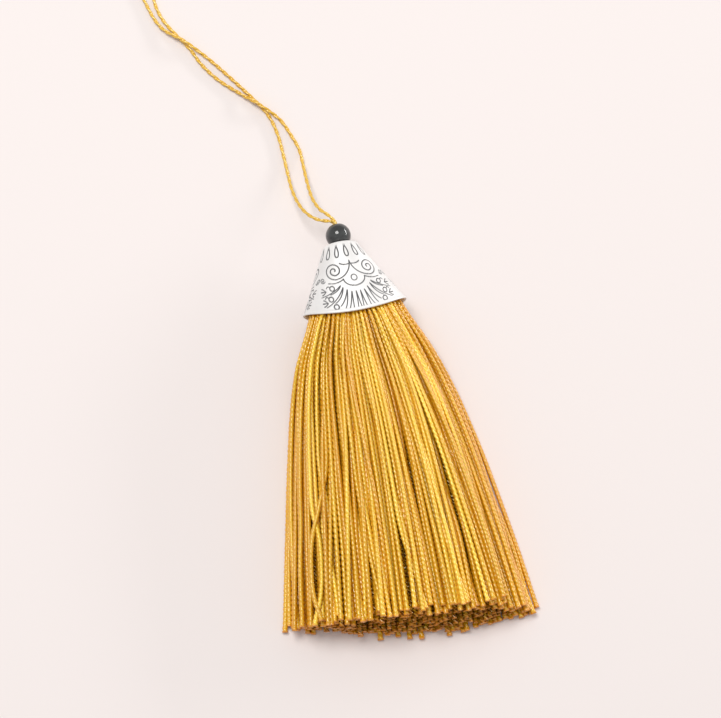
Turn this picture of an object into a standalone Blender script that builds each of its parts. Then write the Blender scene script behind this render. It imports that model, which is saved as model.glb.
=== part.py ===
"""Silk tassel lying on a flat surface: thread skirt, pressed metal cap, drilled bead and cord loop.

Metres, +Z up. The surface is z = 0 and the tassel lies along Y, its head toward +Y. The origin is
the middle of the bead, cap and skirt together, on the surface.
"""

import math
from collections import namedtuple

import bmesh
import bpy
from mathutils import Matrix, Vector
from mathutils.geometry import interpolate_bezier

# Cap: a thin cone, round at its top, its mouth pressed oval. Heights run along its axis from the mouth.
MOUTH_Y = 0.0295  # the mouth's sides along the tassel
MOUTH_X = 0.0002
CAP_TILT = math.radians(3.0)  # head up
CAP_HEIGHT = 0.0153
SHOULDER_HEIGHT = 0.0143
SHOULDER_RADIUS = 0.00445
CAP_TOP_X = -0.0005  # the top leans a little to one side of the mouth
MOUTH_HALF_WIDTH = 0.01215
MOUTH_HALF_HEIGHT = 0.0073
MOUTH_SCALLOP = 0.0022  # the pressed faces reach this far past the sides
CAP_WALL = 0.0007
CAP_HOLE_RADIUS = 0.0025
CAP_STEPS = 40

# Bead: it sits in the edge of the cap's hole.
BEAD_RADIUS = 0.0030
BORE_RADIUS = 0.0014
BEAD_HEIGHT = 0.0175  # its middle, along the cap's axis
BEAD_STEPS = 28
BEAD_RINGS = 10

# Head: the bound roots inside the cap, one cell for each strand.
HEAD_FRONT = 0.0030
HEAD_WAIST = 0.0080
HEAD_BACK = 0.0120
HEAD_HALF_WIDTH = 0.0093
HEAD_HALF_HEIGHT = 0.0052
COLUMNS_EACH_SIDE = 10
CELL_WIDTH = 0.00085
CELL_HEIGHT = 0.00078
ROOT_SHARE = 0.66  # of a cell's side that its strand fills
WAIST_SCALE = (0.66, 0.74)  # the head's width and height there, as shares of its front
BACK_SCALE = (0.41, 0.52)

# Skirt: sections of the whole bundle, measured from the mouth toward the foot. It leaves the mouth as an
# oval in the air and comes down into a dome on the surface, its middle sooner than its two edges.
# step: share taken of a strand's sideways step out of its column
# files: how evenly a column's two files fill its height
# middle_down, edge_down: how far the strands there have come down
Section = namedtuple(
    "Section",
    "distance middle_x half_width dome_height strand_width strand_height step files middle_down edge_down",
)
SECTIONS = (
    Section(0.0029, 0.0002, 0.01200, 0.0145, 0.00068, 0.00072, 0.0, 0.0, 0.0, 0.0),
    Section(0.0120, 0.0001, 0.01600, 0.0139, 0.00080, 0.00078, 0.4, 0.0, 1.0, 0.3),
    Section(0.0300, 0.0004, 0.02110, 0.0133, 0.00084, 0.00078, 1.0, 0.0, 1.0, 1.0),
    Section(0.0540, 0.0001, 0.02560, 0.0121, 0.00102, 0.00096, 1.0, 1.0, 1.0, 1.0),
    Section(0.0790, -0.0006, 0.02960, 0.0108, 0.00120, 0.00106, 1.0, 1.0, 1.0, 1.0),
)
OVAL_MIDDLE = 0.0074  # the oval's height above the surface
OVAL_HALF_HEIGHT = 0.0060
OVAL_ROUNDNESS = 0.95  # how far the oval thins toward its two edges
DOME_ROUNDNESS = 0.93  # the same for the dome
# Cut ends: how far each reaches from the mouth.
# place across (-1 to 1), lowest strand, highest strand
CUT = (
    (-1.0, 0.0712, 0.0708),
    (-0.8, 0.0728, 0.0714),
    (-0.5, 0.0754, 0.0722),
    (-0.1, 0.0779, 0.0731),
    (0.2, 0.0787, 0.0736),
    (0.6, 0.0780, 0.0742),
    (1.0, 0.0776, 0.0764),
)
CUT_UNEVENNESS = 0.0005

# Cord loop: one cord, both ends down through the bead into the cap. Its middle line, from end to end.
CORD_RADIUS = 0.00045
CORD_POINTS = 80
CORD_END_STRETCH = 0.012
CORD_END_CLOSENESS = 3.0
CORD_ROUTE = (
    (-0.0005, 0.0420, 0.00883),
    (-0.0005, 0.0462, 0.00905),
    (-0.0005, 0.0496, 0.0092),
    (-0.0017, 0.0520, 0.0089),
    (-0.0036, 0.0545, 0.0076),
    (-0.0048, 0.0582, 0.0055),
    (-0.0052, 0.0633, 0.0030),
    (-0.0053, 0.0683, 0.0011),
    (-0.0055, 0.0726, 0.00045),
    (-0.0067, 0.0763, 0.00045),
    (-0.0088, 0.0810, 0.0006),
    (-0.0131, 0.0853, 0.0017),
    (-0.0165, 0.0886, 0.0008),
    (-0.0217, 0.0937, 0.00045),
    (-0.0250, 0.0983, 0.00045),
    (-0.0272, 0.1029, 0.00045),
    (-0.0323, 0.1113, 0.00045),
    (-0.0337, 0.1171, 0.00045),
    (-0.0338, 0.1441, 0.00045),
    (-0.0384, 0.1500, 0.00045),
    (-0.0431, 0.1446, 0.00045),
    (-0.0361, 0.1176, 0.00045),
    (-0.0332, 0.1096, 0.0007),
    (-0.0282, 0.1047, 0.0016),
    (-0.0246, 0.1011, 0.0008),
    (-0.0211, 0.0969, 0.00045),
    (-0.0132, 0.0859, 0.00045),
    (-0.0110, 0.0817, 0.00045),
    (-0.0099, 0.0770, 0.00045),
    (-0.0095, 0.0717, 0.00045),
    (-0.0093, 0.0663, 0.0012),
    (-0.0090, 0.0614, 0.0029),
    (-0.0079, 0.0567, 0.0052),
    (-0.0062, 0.0536, 0.0069),
    (-0.0042, 0.0519, 0.0077),
    (-0.0024, 0.0512, 0.00802),
    (-0.00147, 0.05088, 0.00812),
    (-0.00075, 0.0502, 0.00813),
    (-0.0005, 0.0492, 0.0081),
    (-0.0005, 0.0420, 0.00771),
)


def material(name, colour, roughness, metallic=0.0):
    made = bpy.data.materials.new(name)
    made.use_nodes = True
    shader = made.node_tree.nodes["Principled BSDF"]
    shader.inputs["Base Color"].default_value = (*colour, 1.0)
    shader.inputs["Roughness"].default_value = roughness
    shader.inputs["Metallic"].default_value = metallic
    return made


def add_object(name, mesh, finish):
    obj = bpy.data.objects.new(name, mesh)
    obj.data.materials.append(finish)
    bpy.context.scene.collection.objects.link(obj)
    return obj


def mix(a, b, share):
    return a + (b - a) * share


def read_table(table, place, column):
    """The value of a column at a place between the rows, whose first column is the place."""
    for low, high in zip(table, table[1:]):
        if place <= high[0]:
            break
    share = (place - low[0]) / (high[0] - low[0])
    return mix(low[column], high[column], share)


def rounded(across, roundness):
    """Height at a place across the bundle (-1 to 1), as a share of the middle's."""
    return math.sqrt(1.0 - roundness * across**2)


def ring_mesh(name, rings):
    """One closed skin through rings of points, the last ring joined to the first."""
    mesh = bmesh.new()
    verts = [[mesh.verts.new(point) for point in ring] for ring in rings]
    for here, following in zip(verts, verts[1:] + verts[:1]):
        for i in range(len(here)):
            j = (i + 1) % len(here)
            mesh.faces.new((here[i], here[j], following[j], following[i]))
    bmesh.ops.recalc_face_normals(mesh, faces=mesh.faces)
    data = bpy.data.meshes.new(name)
    mesh.to_mesh(data)
    mesh.free()
    data.shade_smooth()
    data.set_sharp_from_angle(angle=math.radians(35))
    return data


def cap_profile():
    """(height, offset from the cone) of each ring: down the outside, round the lip and up the inside."""
    top = CAP_HEIGHT
    inside_top = top - CAP_WALL
    hole = CAP_HOLE_RADIUS - SHOULDER_RADIUS
    outside = [
        (top, hole),
        (top, -0.0009),
        (top - 0.0002, -0.0004),
        (top - 0.0006, -0.0001),
        (SHOULDER_HEIGHT - 0.0004, 0.0),
        (0.0100, 0.0),
        (0.0055, 0.0),
        (0.0012, 0.0),
    ]
    lip = [
        (0.0008, -0.00005),
        (0.0005, 0.00012),
        (0.0001, 0.0002),
        (-0.0003, 0.0001),
        (-0.0004, -0.0002),
        (-0.0002, -0.00055),
    ]
    inside = [
        (0.0003, -CAP_WALL),
        (0.0055, -CAP_WALL),
        (0.0100, -CAP_WALL),
        (SHOULDER_HEIGHT - 0.0010, -CAP_WALL),
        (inside_top, hole + 0.0006),
        (inside_top, hole),
    ]
    return outside + lip + inside


def cap_point(height, offset, angle):
    """A point of the pressed cone, from the middle of its mouth, before it is tilted."""
    taper = min(height / SHOULDER_HEIGHT, 1.0)
    half_width = mix(MOUTH_HALF_WIDTH, SHOULDER_RADIUS, taper) + offset
    half_height = mix(MOUTH_HALF_HEIGHT, SHOULDER_RADIUS, taper) + offset
    scallop = MOUTH_SCALLOP * max(1.0 - taper, 0.0) ** 1.5 * math.sin(angle) ** 2
    return Vector((half_width * math.cos(angle), height - scallop, half_height * math.sin(angle)))


def on_axis(height, axis_z, across=0.0, up=0.0):
    """A point given along the cap's tilted and leaning axis, and sideways from it."""
    lean = mix(MOUTH_X, CAP_TOP_X, min(height / SHOULDER_HEIGHT, 1.0))
    tilted = Matrix.Rotation(CAP_TILT, 3, "X") @ Vector((across, height, up))
    return tilted + Vector((lean, MOUTH_Y, axis_z))


def make_cap(finish):
    """The cap, and the height of its axis at the mouth when the lip rests on the surface."""
    angles = [math.tau * (i + 0.5) / CAP_STEPS for i in range(CAP_STEPS)]
    flat = [[cap_point(height, offset, angle) for angle in angles] for height, offset in cap_profile()]

    def placed(axis_z):
        rings = []
        for (height, _), ring in zip(cap_profile(), flat):
            lean = mix(MOUTH_X, CAP_TOP_X, min(height / SHOULDER_HEIGHT, 1.0))
            turned = [Matrix.Rotation(CAP_TILT, 3, "X") @ point for point in ring]
            rings.append([point + Vector((lean, MOUTH_Y, axis_z)) for point in turned])
        return rings

    lowest = min(point.z for ring in placed(0.0) for point in ring)
    add_object("cap", ring_mesh("cap", placed(-lowest)), finish)
    return -lowest


def make_bead(axis_z, finish):
    """A ball with a straight bore along the cap's axis."""
    edge = math.asin(BORE_RADIUS / BEAD_RADIUS)
    rings = []
    for k in range(BEAD_RINGS + 1):
        polar = mix(edge, math.pi - edge, k / BEAD_RINGS)
        height = BEAD_HEIGHT + BEAD_RADIUS * math.cos(polar)
        reach = BEAD_RADIUS * math.sin(polar)
        turns = [math.tau * i / BEAD_STEPS for i in range(BEAD_STEPS)]
        rings.append([on_axis(height, axis_z, reach * math.cos(t), reach * math.sin(t)) for t in turns])
    add_object("bead", ring_mesh("bead", rings), finish)


def strands_in_column(column):
    """The odd number of cells whose corners stay inside the head's oval."""
    edge = (abs(column) + 0.5) * CELL_WIDTH
    half = HEAD_HALF_HEIGHT * math.sqrt(1.0 - (edge / HEAD_HALF_WIDTH) ** 2)
    pairs = int((2.0 * half / CELL_HEIGHT - 1.0) / 2.0)
    return 2 * pairs + 1


def strand_section(section, column, place, count):
    """Middle x and z, and half width and height, of a strand where the bundle has this section.

    column counts from the middle, place from the bottom of the column, which holds count strands. From the
    mouth to the foot a column changes from a stack into two files side by side that both rest on the surface.
    """
    across = column / COLUMNS_EACH_SIDE
    pitch = section.half_width / COLUMNS_EACH_SIDE
    side = 1 if place % 2 else -1
    x = section.middle_x + pitch * (column + section.step * side / 4.0)
    share = place / (count - 1)
    if place % 2:
        in_file = (place - 1) / (count - 3) if count > 3 else 0.0
        share = mix(share, in_file, section.files)
    oval = OVAL_MIDDLE + OVAL_HALF_HEIGHT * rounded(across, OVAL_ROUNDNESS) * (2.0 * share - 1.0)
    lowest = section.strand_height / 2.0
    highest = section.dome_height * rounded(across, DOME_ROUNDNESS) - lowest
    down = mix(section.middle_down, section.edge_down, across**2)
    z = mix(oval, mix(lowest, highest, share), down)
    return x, z, section.strand_width / 2.0, section.strand_height / 2.0


def reach(column, place, count):
    """How far from the mouth this strand is cut."""
    across = column / COLUMNS_EACH_SIDE
    low = read_table(CUT, across, 1)
    high = read_table(CUT, across, 2)
    uneven = CUT_UNEVENNESS * math.sin(7.3 * column + 4.1 * place)
    return mix(low, high, place / (count - 1)) + uneven


def head_cells(mesh, axis_z):
    """The head's front face as a net of numbered cells. Returns the column, place and count of each."""
    corners = {}
    front = on_axis(HEAD_FRONT, axis_z)

    def corner(i, j):
        if (i, j) not in corners:
            place = front + Vector((i * CELL_WIDTH / 2.0, 0.0, j * CELL_HEIGHT / 2.0))
            corners[i, j] = mesh.verts.new(place)
        return corners[i, j]

    number = mesh.faces.layers.int.new("strand")
    strands = []
    for column in range(-COLUMNS_EACH_SIDE, COLUMNS_EACH_SIDE + 1):
        count = strands_in_column(column)
        for place in range(count):
            i = 2 * column
            j = 2 * place - (count - 1)
            ring = ((i - 1, j - 1), (i + 1, j - 1), (i + 1, j + 1), (i - 1, j + 1))
            face = mesh.faces.new([corner(*at) for at in ring])
            face[number] = len(strands)
            strands.append((column, place, count))
    return strands


def close_head(mesh, axis_z):
    """Draws the net's edge back into the cap as the head's side, in two steps, and fills its back."""
    edge = [e for e in mesh.edges if e.is_boundary]
    front = on_axis(HEAD_FRONT, axis_z)
    centre, scale_x, scale_z = front, 1.0, 1.0
    for height, scale in ((HEAD_WAIST, WAIST_SCALE), (HEAD_BACK, BACK_SCALE)):
        grown = bmesh.ops.extrude_edge_only(mesh, edges=edge)["geom"]
        edge = [g for g in grown if isinstance(g, bmesh.types.BMEdge)]
        target = on_axis(height, axis_z)
        for vert in (g for g in grown if isinstance(g, bmesh.types.BMVert)):
            vert.co.x = target.x + (vert.co.x - centre.x) * scale[0] / scale_x
            vert.co.z = target.z + (vert.co.z - centre.z) * scale[1] / scale_z
            vert.co.y = target.y
        centre, scale_x, scale_z = target, *scale
    bmesh.ops.holes_fill(mesh, edges=edge, sides=0)


def draw_strands(mesh, cells, strands):
    """Insets each cell and draws it out through every section of the skirt, as far as its reach."""
    number = mesh.faces.layers.int["strand"]
    inset = CELL_WIDTH * (1.0 - ROOT_SHARE) / 2.0
    bmesh.ops.inset_individual(mesh, faces=cells, thickness=inset, depth=0.0)
    faces = cells
    for before, section in zip(SECTIONS[:1] + SECTIONS, SECTIONS):
        faces = bmesh.ops.extrude_discrete_faces(mesh, faces=faces)["faces"]
        for face in faces:
            strand = strands[face[number]]
            distance = section.distance
            form = strand_section(section, *strand)
            if section is SECTIONS[-1]:
                distance = reach(*strand)
                share = (distance - before.distance) / (section.distance - before.distance)
                form = [mix(a, b, share) for a, b in zip(strand_section(before, *strand), form)]
            x, z, half_width, half_height = form
            middle = face.calc_center_median()
            for vert in face.verts:
                side = 1 if vert.co.x > middle.x else -1
                rise = 1 if vert.co.z > middle.z else -1
                vert.co = (x + side * half_width, MOUTH_Y - distance, z + rise * half_height)


def make_skirt(axis_z, finish):
    """The head and its strands, one closed body."""
    mesh = bmesh.new()
    strands = head_cells(mesh, axis_z)
    cells = mesh.faces[:]
    close_head(mesh, axis_z)
    draw_strands(mesh, cells, strands)
    bmesh.ops.recalc_face_normals(mesh, faces=mesh.faces)
    data = bpy.data.meshes.new("skirt")
    mesh.to_mesh(data)
    mesh.free()
    add_object("skirt", data, finish)


def smooth_route(route, fineness=24):
    """A dense smooth line through the route's points: Bezier pieces whose handles follow the neighbours."""
    points = [Vector(p) for p in route]
    dense = []
    for i in range(len(points) - 1):
        before = points[max(i - 1, 0)]
        start = points[i]
        end = points[i + 1]
        after = points[min(i + 2, len(points) - 1)]
        length = (end - start).length
        leaving = (end - before).normalized() * length / 3.0
        arriving = (after - start).normalized() * length / 3.0
        dense += interpolate_bezier(start, start + leaving, end - arriving, end, fineness)[:-1]
    return dense + [points[-1]]


def spaced_out(dense, count):
    """Points along a dense line, closer together near its two ends, where it bends into the bead."""
    run = [0.0]
    for a, b in zip(dense, dense[1:]):
        run.append(run[-1] + (b - a).length)
    counted = [0.0]
    for a, b in zip(run, run[1:]):
        near_end = min(a, run[-1] - b) < CORD_END_STRETCH
        counted.append(counted[-1] + (b - a) * (CORD_END_CLOSENESS if near_end else 1.0))
    spaced = []
    k = 0
    for i in range(count):
        wanted = counted[-1] * i / (count - 1)
        while k < len(counted) - 2 and counted[k + 1] < wanted:
            k += 1
        share = (wanted - counted[k]) / (counted[k + 1] - counted[k])
        spaced.append(dense[k].lerp(dense[k + 1], share))
    return spaced


def make_cord(finish):
    curve = bpy.data.curves.new("cord_loop", "CURVE")
    curve.dimensions = "3D"
    curve.bevel_depth = CORD_RADIUS
    curve.bevel_resolution = 2
    curve.use_fill_caps = True
    spline = curve.splines.new("POLY")
    points = spaced_out(smooth_route(CORD_ROUTE), CORD_POINTS)
    spline.points.add(len(points) - 1)
    for spot, point in zip(spline.points, points):
        spot.co = (point.x, point.y, max(point.z, CORD_RADIUS), 1.0)
    add_object("cord_loop", curve, finish)


def main():
    for obj in list(bpy.data.objects):
        bpy.data.objects.remove(obj, do_unlink=True)
    silk = material("silk_gold", (0.60, 0.33, 0.05), 0.42)
    silver = material("cap_silver", (0.82, 0.82, 0.80), 0.35, 0.9)
    black = material("bead_black", (0.01, 0.01, 0.012), 0.08)
    cord = material("cord_gold", (0.66, 0.38, 0.06), 0.45)
    axis_z = make_cap(silver)
    make_bead(axis_z, black)
    make_skirt(axis_z, silk)
    make_cord(cord)


main()
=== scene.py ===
"""Silk tassel: the looks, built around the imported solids.

Metres, +Z up. The tassel lies along Y on the surface z = 0, its head toward +Y.
"""

import math

import bmesh
import bpy
import numpy as np
from mathutils import Matrix, Vector
from mathutils.geometry import interpolate_bezier
from mathutils.kdtree import KDTree


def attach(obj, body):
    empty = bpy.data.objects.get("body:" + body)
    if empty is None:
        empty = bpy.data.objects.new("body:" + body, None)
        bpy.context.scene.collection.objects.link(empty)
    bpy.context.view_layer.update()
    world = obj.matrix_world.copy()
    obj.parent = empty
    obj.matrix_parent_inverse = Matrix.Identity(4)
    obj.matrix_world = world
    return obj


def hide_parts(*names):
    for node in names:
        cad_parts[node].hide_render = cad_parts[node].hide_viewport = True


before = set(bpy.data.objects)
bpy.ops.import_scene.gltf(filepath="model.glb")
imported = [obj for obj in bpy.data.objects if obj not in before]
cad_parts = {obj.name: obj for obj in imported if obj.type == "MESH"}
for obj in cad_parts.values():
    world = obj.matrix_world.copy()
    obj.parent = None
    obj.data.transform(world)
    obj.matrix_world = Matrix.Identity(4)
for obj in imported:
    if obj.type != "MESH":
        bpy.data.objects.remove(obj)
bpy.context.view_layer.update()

MM = 0.001
rng = np.random.default_rng(23)

# View
VIEW_ELEVATION = math.radians(75.0)
VIEW_AZIMUTH = math.radians(-10.4)
VIEW_DISTANCE = 0.7
VIEW_LENS = 148.7
VIEW_SENSOR_WIDTH = 36.0
VIEW_TARGET = Vector((-0.0006, 0.0173, 0.0050))

# Cap
MOUTH_Y = 0.0295
MOUTH_X = 0.0002
CAP_TILT = math.radians(3.0)
CAP_AXIS_Z = 0.00760  # its axis at the mouth, above the surface
CAP_HEIGHT = 0.0153
SHOULDER_HEIGHT = 0.0143
SHOULDER_RADIUS = 0.00445
CAP_TOP_X = -0.0005
MOUTH_HALF_WIDTH = 0.01215
MOUTH_HALF_HEIGHT = 0.0073
MOUTH_SCALLOP = 0.0022  # how much farther its lip reaches over the threads than beside them
SCALLOP_FADE = 1.5  # how quickly that dies away toward the shoulder
CAP_WALL = 0.0007
CAP_HOLE_RADIUS = 0.0025
CAP_STEPS = 520  # round the cap
STEPS_CLOSENESS = 0.42  # how much closer they are over its top than under it
ENGRAVED_ROWS = 164  # down its side
ENGRAVED_DEPTH = 0.10 * MM
ENGRAVED_EDGE = 0.05  # half width of a line's sloping edge, mm
STROKE_STEP = 0.04  # between the points that stand for an engraved line, mm
SIDE_SLANT = 1.04  # length of the cap's side, measured by its height
MOTIFS = 3  # round the cap
MOTIF_TURN = math.radians(8.0)  # the first motif's middle, round the cap from its top
DROPS = 15  # round the cap
DENT_DEPTH = 0.020 * MM

# Bead
BEAD_RADIUS = 0.0030
BORE_RADIUS = 0.0014
BEAD_HEIGHT = 0.0175  # its middle, along the cap's axis
BORE_SOFTNESS = 0.00012  # of the bore's two edges

# Bound head inside the cap
HEAD_HALF_WIDTH = 0.0090
HEAD_HALF_HEIGHT = 0.0051
HEAD_RIDGES = 48
HEAD_RIDGE_DEPTH = 0.02
# height along the cap's axis, and size as a share
HEAD_PROFILE = (
    (0.0030, 0.90),
    (0.0033, 1.0),
    (0.0050, 0.89),
    (0.0065, 0.78),
    (0.0080, 0.68),
    (0.0095, 0.60),
    (0.0110, 0.52),
    (0.0118, 0.46),
    (0.0120, 0.38),
)

# Cord
CORD_DIAMETER = 0.0009
CORD_LYING = CORD_DIAMETER / 2  # its middle, above the surface
CORD_LAY = 0.0044  # one full turn of its two plies
CORD_RINGS_PER_TURN = 16
CORD_TONE = 0.55  # 0 the deepest silk, 1 the palest
CORD_TONE_ALONG = 0.12
CORD_TONE_LENGTH = 0.011
CORD_ROUTE = (
    (-0.0005, 0.0420, 0.00883),
    (-0.0005, 0.0462, 0.00905),
    (-0.0005, 0.0496, 0.0092),
    (-0.0017, 0.0520, 0.0089),
    (-0.0036, 0.0545, 0.0076),
    (-0.0048, 0.0582, 0.0055),
    (-0.0052, 0.0633, 0.0030),
    (-0.0053, 0.0683, 0.0011),
    (-0.0055, 0.0726, CORD_LYING),
    (-0.0067, 0.0763, CORD_LYING),
    (-0.0088, 0.0810, 0.0006),
    (-0.0131, 0.0853, 0.0017),
    (-0.0165, 0.0886, 0.0008),
    (-0.0217, 0.0937, CORD_LYING),
    (-0.0250, 0.0983, CORD_LYING),
    (-0.0272, 0.1029, CORD_LYING),
    (-0.0323, 0.1113, CORD_LYING),
    (-0.0337, 0.1171, CORD_LYING),
    (-0.0338, 0.1441, CORD_LYING),
    (-0.0384, 0.1500, CORD_LYING),
    (-0.0431, 0.1446, CORD_LYING),
    (-0.0361, 0.1176, CORD_LYING),
    (-0.0332, 0.1096, 0.0007),
    (-0.0282, 0.1047, 0.0016),
    (-0.0246, 0.1011, 0.0008),
    (-0.0211, 0.0969, CORD_LYING),
    (-0.0132, 0.0859, CORD_LYING),
    (-0.0110, 0.0817, CORD_LYING),
    (-0.0099, 0.0770, CORD_LYING),
    (-0.0095, 0.0717, CORD_LYING),
    (-0.0093, 0.0663, 0.0012),
    (-0.0090, 0.0614, 0.0029),
    (-0.0079, 0.0567, 0.0052),
    (-0.0062, 0.0536, 0.0069),
    (-0.0042, 0.0519, 0.0077),
    (-0.0024, 0.0512, 0.00802),
    (-0.00147, 0.05088, 0.00812),
    (-0.00075, 0.0502, 0.00813),
    (-0.0005, 0.0492, 0.0081),
    (-0.0005, 0.0420, 0.00771),
)

# Threads of the skirt
THREAD_COLUMNS = 13  # on each side of the middle one
THREADS_IN_MIDDLE_COLUMN = 15
THREAD_RADIUS = 0.00056
THREAD_LAY = 0.0023  # one full turn of its two plies
OUTER_STEP = 0.00036  # between the rings of a thread that shows
INNER_STEP = 0.00090  # and of one inside the bundle
THREAD_RUN = 0.088  # that the rings are counted for
OUTER_CORNERS = 8  # of a ring
INNER_CORNERS = 6
# distances from the mouth, down the skirt, at which the threads are placed
DISTANCES = np.concatenate(
    [[-0.0090, -0.0060, -0.0030, 0.0, 0.002], np.arange(0.004, 0.0841, 0.004)]
)
SKIN_LAYERS = 2  # of threads at the top of the bundle, and as many at its foot
SHOWN_LAYERS = 4  # at the top of the bundle
SHOWN_EDGES = 0.8  # threads farther across than this show too
MIDDLE_PARTS = 0.45  # how far across the skirt its two middle meshes reach
THREAD_SPACING = 0.00100  # what two threads keep between their middles
# a thread's thickness at distances from the mouth, as a share: it opens as its twist slackens
LOOSENING = ((0.0, 0.030, 0.080), (0.84, 1.0, 1.13))
TOP_CLOSENESS = 0.22  # how much closer the threads lie near the top of the bundle

# How the threads settle
SETTLING_ROUNDS = 90
FREE_BETWEEN = (-0.001, 0.004)  # distances over which the roots let them move
PUSH = 0.22  # how much of an overlap each of two threads gives way in a round
SKIN_EVENNESS = 0.26  # how far a top thread moves toward halfway between its neighbours
LINE_WEIGHTS = (0.6, 0.2)  # of a thread's stray at one distance, and at the two beside it
WALL_CLEARANCE = 0.00036  # between the threads and the cap's inner wall
THICKEST_IN_CAP = 0.9  # a thread there, as a share of THREAD_RADIUS
RISE_PAST_LIP = 0.5  # how steeply they may rise where they leave the cap

# How the threads stray
STRAY_BETWEEN = (0.001, 0.040)  # distances over which they begin to
# size, waves across the skirt, drift of each wave down the skirt
LOCK_WAVES = ((0.00045, 2.6, 30.0), (0.00036, 5.3, -60.0), (0.00028, 9.1, 105.0))
LOCK_LEAN = 2.1  # how far a wave shifts from the lowest threads to the highest
# the same waves up and down: their size, number, drift and shift, as shares of those across
LOCK_LIFT = (0.55, 1.3, 1.4, 2.7)
# size and length of each thread's own waves
THREAD_WAVES = ((0.00042, 0.055), (0.00020, 0.027), (0.00008, 0.013))
THREAD_WAVE_STRETCH = (0.75, 1.3)
THREAD_LIFT = 0.6  # the same waves up and down, as a share
CROSSING_THREADS = 60
CROSSING_LAYERS = 0.7  # only threads above this share of the bundle cross
CROSSING_STARTS = (0.006, 0.045)
CROSSING_STRAY = (0.0010, 0.0040)
CROSSING_RISE = 0.00075
CROSSING_TURNED_BACK = 0.75  # those farther across than this only stray inward
RAISED_LAYERS = 0.75  # locks take in the threads above this share of the bundle
RAISED_EDGE = 0.03  # over which a lock ends at its sides
# locks of top threads: middle and half width across the skirt, where they start,
# how far drawn and raised
RAISED_LOCKS = (
    (-0.72, 0.05, 0.010, 0.0010, 0.0004),
    (-0.40, 0.07, 0.004, 0.0020, 0.0005),
    (-0.16, 0.04, 0.022, -0.0014, 0.0004),
    (0.08, 0.05, 0.012, 0.0012, 0.0005),
    (0.34, 0.06, 0.026, -0.0013, 0.0005),
    (0.56, 0.05, 0.008, 0.0010, 0.0004),
    (0.80, 0.04, 0.030, -0.0010, 0.0004),
)

# How they look
FRAY = 0.16  # how much wider a thread is at its cut
FRAY_LENGTH = 0.0016
CUT_LOOK = (0.0005, 0.00005)  # distances from its end over which it takes the deeper colour of its cut, partly painted shade on the end faces
CUT_SCATTER = 0.00045
LONGER_THREADS = 18
LONGER_BY = (0.0004, 0.0011)
LAY_SPREAD = (0.88, 1.15)
SIZE_SPREAD = (0.93, 1.06)
TONE = 0.5  # 0 the deepest silk, 1 the palest
# painted light and shade: how much paler and deeper the locks across the skirt are
LOCK_LIGHT_AND_SHADE = 0.14
TONE_SCATTER = 0.13
# painted highlight: how much paler the threads of the raised locks are
RAISED_LOCK_HIGHLIGHT = 0.26
BURIED_SHADE = 0.10  # painted shade: how much deeper the threads inside the bundle are
TONE_ALONG = 0.05
TONE_ALONG_LENGTH = 0.031

# distance from the mouth, middle x, half width, dome's height, half height of the oval,
# sideways step, evenness of the two files, how far the middle and the edges have come down
BUNDLE = np.array(
    (
        (-0.0090, -0.0003, 0.0060, 0.0100, 0.0036, 0.0, 0.0, 0.0, 0.0),
        (-0.0030, 0.0001, 0.0094, 0.0120, 0.0051, 0.0, 0.0, 0.0, 0.0),
        (0.0000, 0.0002, 0.0108, 0.0140, 0.0057, 0.0, 0.0, 0.0, 0.0),
        (0.0040, 0.0002, 0.0123, 0.0144, 0.0060, 0.3, 0.1, 0.0, 0.0),
        (0.0120, 0.0001, 0.0160, 0.0139, 0.0062, 0.8, 0.3, 1.0, 0.3),
        (0.0200, 0.0003, 0.0187, 0.0136, 0.0062, 1.0, 0.4, 1.0, 0.8),
        (0.0300, 0.0004, 0.0211, 0.0133, 0.0060, 1.0, 0.6, 1.0, 1.0),
        (0.0540, 0.0001, 0.0256, 0.0121, 0.0058, 1.0, 1.0, 1.0, 1.0),
        (0.0820, -0.0007, 0.0301, 0.0107, 0.0052, 1.0, 1.0, 1.0, 1.0),
    )
)
OVAL_ROUNDNESS = 0.95
DOME_ROUNDNESS = 0.93
# place across, reach of the lowest thread, reach of the highest
CUT = np.array(
    (
        (-1.0, 0.0717, 0.0714),
        (-0.8, 0.0728, 0.0725),
        (-0.5, 0.0750, 0.0735),
        (-0.1, 0.0778, 0.0739),
        (0.2, 0.0788, 0.0745),
        (0.6, 0.0788, 0.0752),
        (1.0, 0.0782, 0.0772),
    )
)


# ---------------------------------------------------------------- small helpers


def mix(a, b, share):
    return a + (b - a) * share


def smooth_step(value, low, high):
    share = np.clip((value - low) / (high - low), 0.0, 1.0)
    return share * share * (3.0 - 2.0 * share)


def cubic_between(starts, ends, slopes, width, t):
    """The cubic from one value to the next, given both slopes, at the share t of the way."""
    rise = 3 * t**2 - 2 * t**3
    leave = t**3 - 2 * t**2 + t
    arrive = t**3 - t**2
    return starts * (1 - rise) + ends * rise + width * (slopes[0] * leave + slopes[1] * arrive)


def interval(places, at):
    """Which two places each value lies between, how wide that is, and its share of the way."""
    i = np.clip(np.searchsorted(places, at) - 1, 0, len(places) - 2)
    width = places[i + 1] - places[i]
    return i, width, np.clip((at - places[i]) / width, 0.0, 1.0)


def smooth_table(table, column, at):
    """A column of a table on a smooth curve through its rows, read along its first column."""
    places, values = table[:, 0], table[:, column]
    slope = np.gradient(values, places)
    i, width, t = interval(places, at)
    return cubic_between(values[i], values[i + 1], (slope[i], slope[i + 1]), width, t)


def smooth_lines(values, places, at):
    """Smooth curves through values (places x threads), read at each thread's own row of places."""
    slope = np.gradient(values, places, axis=0)
    i, width, t = interval(places, at)
    thread = np.arange(len(at))[:, None]
    slopes = (slope[i, thread], slope[i + 1, thread])
    return cubic_between(values[i, thread], values[i + 1, thread], slopes, width, t)


def new_object(name, data):
    obj = bpy.data.objects.new(name, data)
    bpy.context.scene.collection.objects.link(obj)
    return obj


def deselect_all():
    if bpy.context.mode != "OBJECT":
        bpy.ops.object.mode_set(mode="OBJECT")
    bpy.ops.object.select_all(action="DESELECT")


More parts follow.
